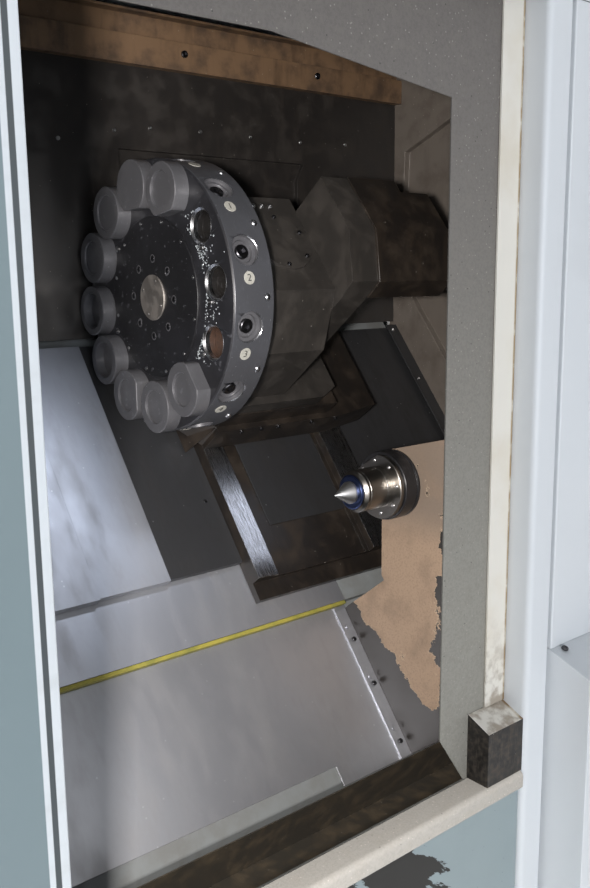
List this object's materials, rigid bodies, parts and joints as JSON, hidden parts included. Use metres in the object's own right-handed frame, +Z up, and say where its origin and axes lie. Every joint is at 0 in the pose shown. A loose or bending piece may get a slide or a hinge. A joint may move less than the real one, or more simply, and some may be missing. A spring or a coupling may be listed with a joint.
{
  "type": "cnc turning lathe",
  "caption": "Enclosed slant-bed turning lathe with a sliding door, a tool turret on a cross slide, a three-jaw chuck and a tailstock with a live centre.",
  "frame": {"origin": "on the floor, below the middle of the machine's overall box", "axes": "+X along the spindle axis from the headstock to the tailstock, +Y from the operator to the back, +Z up"},
  "size_m": [2.6, 1.68, 1.98],
  "materials": {
    "machine_casting": "painted grey casting",
    "foot_steel": "zinc-plated turned steel",
    "stainless_sheet": "scratched stainless sheet with dried coolant",
    "rusty_trough": "rusty black sheet steel",
    "seal_yellow": "aged yellow sealing strip",
    "cabin_steel": "dull coolant-stained sheet steel",
    "stained_beam": "brown coolant-stained folded steel",
    "speckled_plate": "grey steel plate speckled with dried coolant",
    "panel_teal": "worn grey-green enamel",
    "panel_white": "white powder-coated sheet steel",
    "trim_cream": "cream enamel with ochre stains",
    "window_glass": "laminated safety glass",
    "handle_steel": "bent round bar",
    "ground_steel": "ground hardened steel",
    "chuck_steel": "turned steel, darkened by use",
    "dark_oxide": "black-oxided steel with an oily sheen",
    "dark_paint": "dark grey enamel with dirt",
    "housing_paint": "blue-grey enamel, dirty and worn",
    "tailstock_paint": "tan oxidised casting with peeled dark patches",
    "screen_dark": "dark display cover",
    "black_plastic": "moulded black plastic",
    "button_red": "moulded red plastic"
  },
  "bodies": {
    "machine": {"base_casting": "machine_casting", "slant_bed": "machine_casting", "levelling_foot_1": "foot_steel", "levelling_foot_2": "foot_steel", "levelling_foot_3": "foot_steel", "levelling_foot_4": "foot_steel", "chip_trough": "rusty_trough", "lower_slope_sheet": "stainless_sheet", "sheet_end_strip": "stainless_sheet", "middle_slope_sheet": "stainless_sheet", "seam_seal": "seal_yellow", "back_panel": "cabin_steel", "top_beam": "stained_beam", "inner_wall_right": "cabin_steel", "inner_wall_left": "cabin_steel", "splash_frame": "speckled_plate", "sill": "panel_teal", "front_lower_panel": "panel_teal", "front_panel_left": "panel_white", "front_panel_right": "panel_white", "lower_cabinet": "panel_white", "jamb_trim": "trim_cream", "jamb_post": "panel_white", "roof_cover": "panel_white", "rear_cover": "panel_white", "side_cover_left": "panel_white", "side_cover_right": "panel_white", "door_rail": "panel_white", "headstock": "machine_casting", "spindle_motor": "dark_paint", "belt_guard": "machine_casting", "way_cover_left_far": "stainless_sheet", "way_cover_right_fixed": "stainless_sheet", "control_box": "panel_white", "control_screen": "screen_dark"},
    "door": {"door_frame": "panel_teal", "door_window": "window_glass", "door_handle": "handle_steel"},
    "spindle": {"spindle_shaft": "ground_steel", "chuck_body": "chuck_steel"},
    "jaw_1": {"chuck_jaw_1": "ground_steel"},
    "jaw_2": {"chuck_jaw_2": "ground_steel"},
    "jaw_3": {"chuck_jaw_3": "ground_steel"},
    "carriage": {"saddle": "dark_paint", "way_cover_left_near": "stainless_sheet", "way_cover_right_near": "stainless_sheet"},
    "middle_way_cover": {"way_cover_left_middle": "stainless_sheet"},
    "slide": {"cross_slide": "dark_paint", "turret_housing": "housing_paint", "turret_motor_cover": "dark_paint"},
    "slide_cover": {"centre_cover": "stainless_sheet"},
    "turret": {"turret_disc": "dark_oxide", "turret_face_cover": "dark_oxide"},
    "tailstock": {"tailstock_body": "tailstock_paint"},
    "quill": {"quill": "chuck_steel", "live_centre_body": "ground_steel"},
    "centre_point": {"live_centre_point": "ground_steel"},
    "handwheel": {"handwheel": "black_plastic"},
    "mode_knob": {"mode_knob": "black_plastic"},
    "emergency_button": {"emergency_button": "button_red"}
  },
  "joints": [
    {"name": "door_slide", "type": "slide", "parent": "machine", "child": "door", "axis": [1, 0, 0], "range_m": [0, 0.72]},
    {"name": "spindle_spin", "type": "hinge", "parent": "machine", "child": "spindle", "pos_m": [0, -0.255, 1], "axis": [1, 0, 0], "continuous": true},
    {"name": "jaw_1_slide", "type": "slide", "parent": "spindle", "child": "jaw_1", "axis": [0, 0, 1], "range_m": [-0.001, 0.004]},
    {"name": "jaw_2_slide", "type": "slide", "parent": "spindle", "child": "jaw_2", "axis": [0, -0.866, -0.5], "range_m": [-0.001, 0.004]},
    {"name": "jaw_3_slide", "type": "slide", "parent": "spindle", "child": "jaw_3", "axis": [0, 0.866, -0.5], "range_m": [-0.001, 0.004]},
    {"name": "carriage_slide", "type": "slide", "parent": "machine", "child": "carriage", "axis": [-1, 0, 0], "range_m": [0, 0.3]},
    {"name": "middle_cover_slide", "type": "slide", "parent": "machine", "child": "middle_way_cover", "axis": [-1, 0, 0], "range_m": [0, 0.15]},
    {"name": "cross_feed", "type": "slide", "parent": "carriage", "child": "slide", "axis": [0, -0.6157, -0.788], "range_m": [0, 0.2]},
    {"name": "slide_cover_feed", "type": "slide", "parent": "carriage", "child": "slide_cover", "axis": [0, -0.6157, -0.788], "range_m": [0, 0.1]},
    {"name": "turret_index", "type": "hinge", "parent": "slide", "child": "turret", "pos_m": [0.2, 0.02636, 1.36012], "axis": [1, 0, 0], "continuous": true},
    {"name": "tailstock_slide", "type": "slide", "parent": "machine", "child": "tailstock", "axis": [1, 0, 0], "range_m": [0, 0.12]},
    {"name": "quill_slide", "type": "slide", "parent": "tailstock", "child": "quill", "axis": [-1, 0, 0], "range_m": [0, 0.1]},
    {"name": "centre_spin", "type": "hinge", "parent": "quill", "child": "centre_point", "pos_m": [0.4, -0.255, 1], "axis": [1, 0, 0], "continuous": true},
    {"name": "handwheel_turn", "type": "hinge", "parent": "machine", "child": "handwheel", "pos_m": [1.06, -0.82, 1.16], "axis": [0, 1, 0], "continuous": true},
    {"name": "mode_knob_turn", "type": "hinge", "parent": "machine", "child": "mode_knob", "pos_m": [0.88, -0.82, 1.16], "axis": [0, 1, 0], "range_deg": [-90, 90]},
    {"name": "emergency_press", "type": "slide", "parent": "machine", "child": "emergency_button", "axis": [0, 1, 0], "range_m": [0, 0.006], "stiffness_N_per_m": 800}
  ],
  "couplings": [
    {"joint": "jaw_2_slide", "follows": "jaw_1_slide", "ratio": 1},
    {"joint": "jaw_3_slide", "follows": "jaw_1_slide", "ratio": 1},
    {"joint": "middle_cover_slide", "follows": "carriage_slide", "ratio": 0.5},
    {"joint": "slide_cover_feed", "follows": "cross_feed", "ratio": 0.5}
  ]
}
